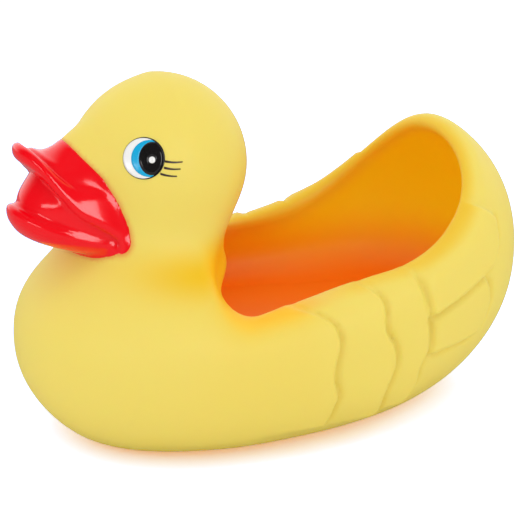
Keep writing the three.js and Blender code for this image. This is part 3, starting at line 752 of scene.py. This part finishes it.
# Bill paint: a coat that thins out at its edge
paint = {
    "colour": (0.88, 0.0, 0.006, 1),
    "roughness": 0.14,
    "coat": 0.3,
    "bump": (180, 0.05, 0.0006),
    "thickness": 0.22,
    "edgeShare": 0.15,
    "under": 0.15,
    "feather": 1.2,
    "sideX": 32,
    "frontY": -112,
    "backY": -50,
    "lastY": -55,
    "lowZ": 70,
    "highZ": 142,
    "edgeRounds": 6,
    "edgeMove": 0.6,
    "edgeSettle": 0.5,
}
paintMaterial, paintTree, paintSurface = newMaterial(
    "redPaint",
    {
        "Base Color": paint["colour"],
        "Roughness": paint["roughness"],
        "Coat Weight": paint["coat"],
        "Coat Roughness": 0.06,
        "IOR": 1.5,
    },
)
addBump(paintTree, paintSurface, *paint["bump"])

billLow = (-paint["sideX"], paint["frontY"], paint["lowZ"])
billHigh = (paint["sideX"], paint["backY"], paint["highZ"])
billPoints, billQuads = surfaceNet(duckShape, billLow, billHigh, net["paintStep"] * coarse)
reach = paintReach(*billPoints.T)
inFront = (billPoints[billQuads, 1] < paint["lastY"]).all(1)
used = billQuads[(reach[billQuads] > 0).any(1) & inFront]
# The points just outside the paint move onto its edge
outside = np.unique(used[reach[used] <= 0])
for _ in range(paint["edgeRounds"]):
    spot = billPoints[outside]
    slope = slopeOf(paintReach, spot)
    normal = slopeOf(duckShape, spot)
    normal /= np.linalg.norm(normal, axis=1)[:, None]
    slope -= (slope * normal).sum(1)[:, None] * normal
    move = -(paintReach(*spot.T) / ((slope**2).sum(1) + 1e-6))[:, None] * slope
    length = np.linalg.norm(move, axis=1)[:, None]
    moved = spot + move * np.minimum(1, paint["edgeMove"] / np.maximum(length, 1e-9))
    billPoints[outside] = settle(duckShape, moved, paint["edgeSettle"], 2)
kept, numbers = np.unique(used, return_inverse=True)
used = numbers.reshape(-1, 4)
skin = billPoints[kept]
normal = slopeOf(duckShape, skin)
normal /= np.linalg.norm(normal, axis=1)[:, None]
fullShare = fade(paintReach(*skin.T) - paint["feather"] / 2, paint["feather"])[:, None]
coatShare = paint["edgeShare"] + (1 - paint["edgeShare"]) * fullShare
outerSkin = skin + normal * paint["thickness"] * coatShare
innerSkin = skin - normal * paint["under"]
sideEdges = np.concatenate([used[:, [a, b]] for a, b in ((0, 1), (1, 2), (2, 3), (3, 0))])
edgeKeys = sideEdges[:, 0] * len(skin) + sideEdges[:, 1]
twinKeys = sideEdges[:, 1] * len(skin) + sideEdges[:, 0]
border = sideEdges[~np.isin(twinKeys, edgeKeys)]
count = len(skin)
closing = np.stack([border[:, 1], border[:, 0], border[:, 0] + count, border[:, 1] + count], 1)
billFaces = np.concatenate([used, used[:, ::-1] + count, closing])
billPaint = addMesh("billPaint", np.concatenate([outerSkin, innerSkin]), billFaces, paintMaterial)
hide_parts("bill_paint")
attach(billPaint, "root")
print("bill paint made", len(billFaces), "quads")

# Eyes: fields of paint on the head, drawn in a flat frame that faces out from each eye
eye = {
    "azimuth": 58,
    "elevation": 16,
    "radius": 7.9,
    "irisRadius": 7.2,
    "irisBack": 2.6,
    "pupilHalfWidth": 5.1,
    "pupilHalfHeight": 6.5,
    "pupilBack": 3.6,
    "glintRadius": 1.3,
    "glintBack": 3.7,
    "glintUp": -0.55,
    "glintMiddle": 0.05,
    "outline": 0.4,
    "outlineNarrow": 0.8,
    "outlineLift": 0.03,
    "thickness": 0.16,
    "under": 0.1,
    "leastWidth": 0.04,
    "pointsRound": 96,
    "anglesTried": 721,
    "rings": 5,
    "thinRings": 3,
    "coat": 0.4,
    "bump": (240, 0.04, 0.0004),
}


# Direction by its azimuth from ahead of the duck and its elevation, in degrees
def directionAt(azimuth, elevation):
    turn, tilt = math.radians(azimuth), math.radians(elevation)
    level = math.cos(tilt)
    return np.array([math.sin(turn) * level, -math.cos(turn) * level, math.sin(tilt)])


aim = directionAt(eye["azimuth"], eye["elevation"])
headCentre = np.array([0, head["centreY"], head["centreZ"]])
eyeCentre = settle(bodyShape, (headCentre + aim * head["radius"])[None], head["radius"], 8)
eyeOut = slopeOf(bodyShape, eyeCentre)[0]
eyeOut /= np.linalg.norm(eyeOut)
eyeUp = np.array([0, 0, 1]) - eyeOut[2] * eyeOut
eyeUp /= np.linalg.norm(eyeUp)
eyeBack = np.cross(eyeUp, eyeOut)


# Points of the head at (back, up) in the eye's frame, moved out by a height
def onHead(back, up, out):
    back, up = np.broadcast_arrays(np.asarray(back, float), np.asarray(up, float))
    points = eyeCentre + back.reshape(-1, 1) * eyeBack + up.reshape(-1, 1) * eyeUp
    for _ in range(10):
        slope = slopeOf(bodyShape, points) @ eyeOut
        points = points - (bodyShape(*points.T) / slope)[:, None] * eyeOut
    normal = slopeOf(bodyShape, points)
    return points + normal / np.linalg.norm(normal, axis=1)[:, None] * out


# A closed plate whose outer face bulges over a grid of (back, up) points
def paintPlate(name, back, up, heights, wraps, material, nodes):
    rows, columns = back.shape
    top = onHead(back.ravel(), up.ravel(), np.asarray(heights, float).reshape(-1, 1))
    bottom = onHead(back.ravel(), up.ravel(), -eye["under"])
    number = np.arange(rows * columns).reshape(rows, columns)
    after = np.roll(number, -1, 1) if wraps else number[:, 1:]
    first = number if wraps else number[:, :-1]
    quads = np.stack([first[:-1], after[:-1], after[1:], first[1:]], -1).reshape(-1, 4)
    under = rows * columns
    faces = [quads, quads[:, ::-1] + under]
    for row, flip in ((0, False), (-1, True)):
        a, b = first[row].ravel(), after[row].ravel()
        wallFaces = np.stack([b, a, a + under, b + under], 1)
        faces.append(wallFaces[:, ::-1] if flip else wallFaces)
    if not wraps:
        for column, flip in ((0, True), (-1, False)):
            a, b = number[:-1, column], number[1:, column]
            wallFaces = np.stack([b, a, a + under, b + under], 1)
            faces.append(wallFaces[:, ::-1] if flip else wallFaces)
    points = np.concatenate([top, bottom])
    faces = np.concatenate(faces)
    for side, sign in (("left", 1), ("right", -1)):
        sideFaces = faces if sign > 0 else faces[:, ::-1]
        piece = addMesh(name + side.capitalize(), points * [sign, 1, 1], sideFaces, material)
        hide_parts(f"{nodes}_{side}")
        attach(piece, "root")


# Points of an oval (back, up, width, height), with what lies past the eyeball's edge drawn in to it
def ovalPoints(oval, angle, limit=math.inf):
    back = oval[0] + oval[2] * np.cos(angle)
    up = oval[1] - oval[3] * np.sin(angle)
    share = np.minimum(1, limit / np.hypot(back, up))
    return back * share, up * share


# Distance from the eye's centre to an oval, along each angle
def ovalReach(oval, angle):
    across, along = np.cos(angle) / oval[2], np.sin(angle) / oval[3]
    shift = oval[0] / oval[2]
    a = across**2 + along**2
    b = -shift * across
    return (-b + np.sqrt(b * b - a * (shift * shift - 1))) / a


def between(inner, outer, rings):
    share = np.linspace(0, 1, rings)[:, None]
    return [(1 - share) * a + share * b for a, b in zip(inner, outer)]


def ringField(name, inner, outer, limit, material, nodes, rings, lift=0.0):
    angle = np.linspace(0, 2 * math.pi, eye["pointsRound"], endpoint=False)
    back, up = between(ovalPoints(inner, angle), ovalPoints(outer, angle, limit), rings)
    heights = np.full(back.shape, eye["thickness"] + lift)
    paintPlate(name, back, up, heights, True, material, nodes)


# A crescent between two ovals about the eye's centre, as far as they stay apart
def crescentField(name, inner, outer, material, nodes):
    angle = np.linspace(0, 2 * math.pi, eye["anglesTried"])
    limit = np.minimum(ovalReach(outer, angle), eye["radius"])
    start = angle[np.argmax(limit - ovalReach(inner, angle) > eye["leastWidth"])]
    angle = np.linspace(start, 2 * math.pi - start, eye["pointsRound"])
    near = ovalReach(inner, angle)
    far = np.minimum(ovalReach(outer, angle), eye["radius"])
    nearEdge = (near * np.cos(angle), near * -np.sin(angle))
    farEdge = (far * np.cos(angle), far * -np.sin(angle))
    back, up = between(nearEdge, farEdge, eye["rings"])
    heights = np.full(back.shape, eye["thickness"])
    paintPlate(name, back, up, heights, False, material, nodes)


def paintMaterialOf(name, colour, roughness):
    inputs = {"Base Color": colour, "Roughness": roughness, "Coat Weight": eye["coat"]}
    material, tree, surface = newMaterial(name, inputs)
    addBump(tree, surface, *eye["bump"])
    return material


# Colour and roughness of each paint
eyePaints = {
    "white": ((0.86, 0.86, 0.84, 1), 0.2),
    "blue": ((0.0, 0.39, 0.70, 1), 0.2),
    "black": ((0.008, 0.007, 0.007, 1), 0.14),
    "brown": ((0.035, 0.014, 0.008, 1), 0.35),
}
eyeMaterials = {key: paintMaterialOf(key + "Paint", *value) for key, value in eyePaints.items()}
white, blue, black = eyeMaterials["white"], eyeMaterials["blue"], eyeMaterials["black"]
ball = (0, 0, eye["radius"], eye["radius"])
iris = (eye["irisBack"], 0, eye["irisRadius"], eye["irisRadius"])
pupil = (eye["pupilBack"], 0, eye["pupilHalfWidth"], eye["pupilHalfHeight"])
glint = (eye["glintBack"], eye["glintUp"], eye["glintRadius"], eye["glintRadius"])
glintMiddle = (eye["glintBack"], eye["glintUp"], eye["glintMiddle"], eye["glintMiddle"])
outline = eye["outline"]
narrow = outline * eye["outlineNarrow"]
rimLine = (narrow, 0, eye["radius"] + outline, eye["radius"] + narrow)
rimLimit = eye["radius"] + outline * 2
rings, thinRings, lift = eye["rings"], eye["thinRings"], eye["outlineLift"]
crescentField("eyeWhite", iris, ball, white, "eye_white")
crescentField("eyeIris", pupil, iris, blue, "eye_iris")
ringField("eyePupil", glint, pupil, eye["radius"], black, "eye_pupil", rings)
ringField("eyeGlint", glintMiddle, glint, rimLimit, white, "eye_glint", thinRings)
ringField(
    "eyeOutline", ball, rimLine, rimLimit, black, "eye_outline", thinRings, lift
)

# Lashes: each from its root to its tip as (back, up) in the eye's frame
lash = {
    "width": 0.95,
    "tipShare": 0.5,
    "sag": 0.3,
    "edgeShare": 0.5,
    "pointsAlong": 25,
    "pointsAcross": 5,
    "Upper": ((8.6, -0.9), (15.3, -0.8)),
    "Middle": ((8.4, -3.4), (14.6, -3.6)),
    "Lower": ((7.0, -5.8), (13.3, -6.5)),
}
share = np.linspace(0, 1, lash["pointsAlong"])[:, None]
across = np.linspace(1, -1, lash["pointsAcross"])[None, :]
half = lash["width"] / 2 * (1 - (1 - lash["tipShare"]) * share)
heights = eye["thickness"] * (1 - (1 - lash["edgeShare"]) * np.abs(across)) + 0 * share
for name in ("Upper", "Middle", "Lower"):
    start, end = lash[name]
    back = start[0] + share * (end[0] - start[0]) + 0 * across
    middle = start[1] + share * (end[1] - start[1]) - lash["sag"] * np.sin(math.pi * share)
    node = "lash_" + name.lower()
    up = middle + across * half
    paintPlate("lash" + name, back, up, heights, False, eyeMaterials["brown"], node)
print("eyes made")

# Squeaker: natural polyethylene that lets some light in
plastic = {
    "colour": (0.86, 0.86, 0.79, 1),
    "roughness": 0.38,
    "glow": 0.4,
    "glowReach": 0.002,
    "bump": (400, 0.06, 0.0003),
}
plasticMaterial, plasticTree, plasticSurface = newMaterial(
    "naturalPlastic",
    {
        "Base Color": plastic["colour"],
        "Roughness": plastic["roughness"],
        "Subsurface Weight": plastic["glow"],
        "Subsurface Scale": plastic["glowReach"],
    },
)
addBump(plasticTree, plasticSurface, *plastic["bump"])
for node in ("squeaker_cup", "squeaker_reed"):
    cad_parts[node].material_slots[0].material = plasticMaterial
print("squeaker finished")

# Floor: the camera sees its colour with a painted warm shadow, which its orange glow makes;
# polished parts see it darker
stageLook = {
    "floorColour": (0.95, 0.95, 0.95, 1),
    "seenColour": (0.41, 1.18, 2.36, 1),
    "warmShadowGlow": (0.72, 0.22, 0.0, 1),
    "mirroredColour": (0.3, 0.3, 0.3, 1),
    "floorGlow": 0.04,
    "floorSize": 6.0,
}
floorMaterial, floorTree, floorSurface = newMaterial(
    "floor",
    {
        "Base Color": stageLook["floorColour"],
        "Roughness": 0.9,
        "Specular IOR Level": 0.0,
        "Emission Color": (1, 1, 1, 1),
        "Emission Strength": stageLook["floorGlow"],
    },
)
seenDiffuse = floorTree.nodes.new("ShaderNodeBsdfDiffuse")
seenDiffuse.inputs["Color"].default_value = stageLook["seenColour"]
warmShadowGlow = floorTree.nodes.new("ShaderNodeEmission")
warmShadowGlow.inputs["Color"].default_value = stageLook["warmShadowGlow"]
seenSum = floorTree.nodes.new("ShaderNodeAddShader")
floorTree.links.new(seenDiffuse.outputs["BSDF"], seenSum.inputs[0])
floorTree.links.new(warmShadowGlow.outputs["Emission"], seenSum.inputs[1])
floorPath = floorTree.nodes.new("ShaderNodeLightPath")
mirroredFloor = floorTree.nodes.new("ShaderNodeBsdfDiffuse")
mirroredFloor.inputs["Color"].default_value = stageLook["mirroredColour"]
mirroredMix = floorTree.nodes.new("ShaderNodeMixShader")
floorTree.links.new(floorPath.outputs["Is Glossy Ray"], mirroredMix.inputs["Fac"])
floorTree.links.new(floorSurface.outputs["BSDF"], mirroredMix.inputs[1])
floorTree.links.new(mirroredFloor.outputs["BSDF"], mirroredMix.inputs[2])
floorMix = floorTree.nodes.new("ShaderNodeMixShader")
floorTree.links.new(floorPath.outputs["Is Camera Ray"], floorMix.inputs["Fac"])
floorTree.links.new(mirroredMix.outputs["Shader"], floorMix.inputs[1])
floorTree.links.new(seenSum.outputs["Shader"], floorMix.inputs[2])
floorOutput = floorTree.nodes["Material Output"]
floorTree.links.new(floorMix.outputs["Shader"], floorOutput.inputs["Surface"])
side = stageLook["floorSize"] / 2
corners = [(-side, -side, 0), (side, -side, 0), (side, side, 0), (-side, side, 0)]
floorMesh = bpy.data.meshes.new("floor")
floorMesh.from_pydata(corners, [], [(0, 1, 2, 3)])
floorMesh.materials.append(floorMaterial)
floor = bpy.data.objects.new("floor", floorMesh)
bpy.context.scene.collection.objects.link(floor)

# Light: an even white room, which polished surfaces see as a bright backdrop behind the duck
scene = bpy.context.scene
world = bpy.data.worlds.new("world")
world.use_nodes = True
scene.world = world
room = {
    "even": 0.93,
    "backdrop": 1.2,
    "front": 0.03,
    "towards": (-0.899, 0.438, 0.0),
    "from": 0.0,
    "to": 0.7,
}
worldTree = world.node_tree


def worldLight(strength):
    light = worldTree.nodes.new("ShaderNodeBackground")
    light.inputs["Color"].default_value = (1, 1, 1, 1)
    light.inputs["Strength"].default_value = strength
    return light


def chooseLight(path, kind, first, second):
    choose = worldTree.nodes.new("ShaderNodeMixShader")
    worldTree.links.new(path.outputs[kind], choose.inputs["Fac"])
    worldTree.links.new(first.outputs[0], choose.inputs[1])
    worldTree.links.new(second.outputs[0], choose.inputs[2])
    return choose


direction = worldTree.nodes.new("ShaderNodeTexCoord")
towards = worldTree.nodes.new("ShaderNodeVectorMath")
towards.operation = "DOT_PRODUCT"
towards.inputs[1].default_value = room["towards"]
worldTree.links.new(direction.outputs["Generated"], towards.inputs[0])
ramp = worldTree.nodes.new("ShaderNodeMapRange")
ramp.interpolation_type = "SMOOTHSTEP"
ramp.inputs["From Min"].default_value = room["from"]
ramp.inputs["From Max"].default_value = room["to"]
ramp.inputs["To Min"].default_value = room["front"]
ramp.inputs["To Max"].default_value = room["backdrop"]
worldTree.links.new(towards.outputs["Value"], ramp.inputs["Value"])
mirroredRoom = worldLight(1.0)
worldTree.links.new(ramp.outputs["Result"], mirroredRoom.inputs["Strength"])
path = worldTree.nodes.new("ShaderNodeLightPath")
inRoom = chooseLight(path, "Is Glossy Ray", worldLight(room["even"]), mirroredRoom)
seenRoom = chooseLight(path, "Is Camera Ray", inRoom, worldLight(1.0))
worldTree.links.new(seenRoom.outputs["Shader"], worldTree.nodes["World Output"].inputs["Surface"])


# A panel lights the duck, or only shows as a highlight on its polished parts; sizes are in metres
def addLight(name, place, target, size, power, mirrored=False):
    data = bpy.data.lights.new(name, "AREA")
    data.shape = "RECTANGLE"
    data.size, data.size_y = size
    data.energy = power
    lamp = bpy.data.objects.new(name, data)
    lamp.location = place
    lamp.rotation_euler = (Vector(target) - Vector(place)).to_track_quat("-Z", "Y").to_euler()
    lamp.visible_diffuse = not mirrored
    lamp.visible_glossy = mirrored
    scene.collection.objects.link(lamp)


# Each panel: place, target, size and power
panels = {
    "topPanel": ((0.25, -0.15, 0.95), (0, -0.02, 0.05), (0.9, 0.6), 1.2),
    "frontPanel": ((0.35, -0.95, 0.45), (0, -0.03, 0.07), (0.5, 0.5), 0.6),
    "sternPanel": ((0.55, 0.55, 0.14), (0.03, 0.05, 0.04), (0.5, 0.26), 0.45),
    "sideHighlight": ((0.951, -0.107, 0.41), (0, -0.09, 0.1), (0.34, 0.5), 2.4, True),
    "lipHighlight": ((0.495, -0.95, 0.24), (0, -0.09, 0.1), (0.44, 0.14), 0.77, True),
}
for name, panel in panels.items():
    addLight(name, *panel)

# Camera: angles in degrees, places in the duck's own millimetres, focal length in picture points
view = {
    "azimuth": 64,
    "elevation": 18.109,
    "distance": 715.924,
    "target": (0, 4.806, 65.753),
    "focal": 1656.876,
    "pictureWidth": 520,
    "sensor": 36,
}
away = directionAt(view["azimuth"], view["elevation"])
place = toMetres(np.array(view["target"]) + view["distance"] * away)
cameraData = bpy.data.cameras.new("camera")
cameraData.sensor_width = view["sensor"]
cameraData.lens = view["focal"] / view["pictureWidth"] * view["sensor"]
cameraData.clip_start = 0.01
camera = bpy.data.objects.new("camera", cameraData)
camera.location = place
camera.rotation_euler = Vector(-away).to_track_quat("-Z", "Y").to_euler()
scene.collection.objects.link(camera)
scene.camera = camera

scene.view_settings.view_transform = "Standard"
print("stage, light and camera set")
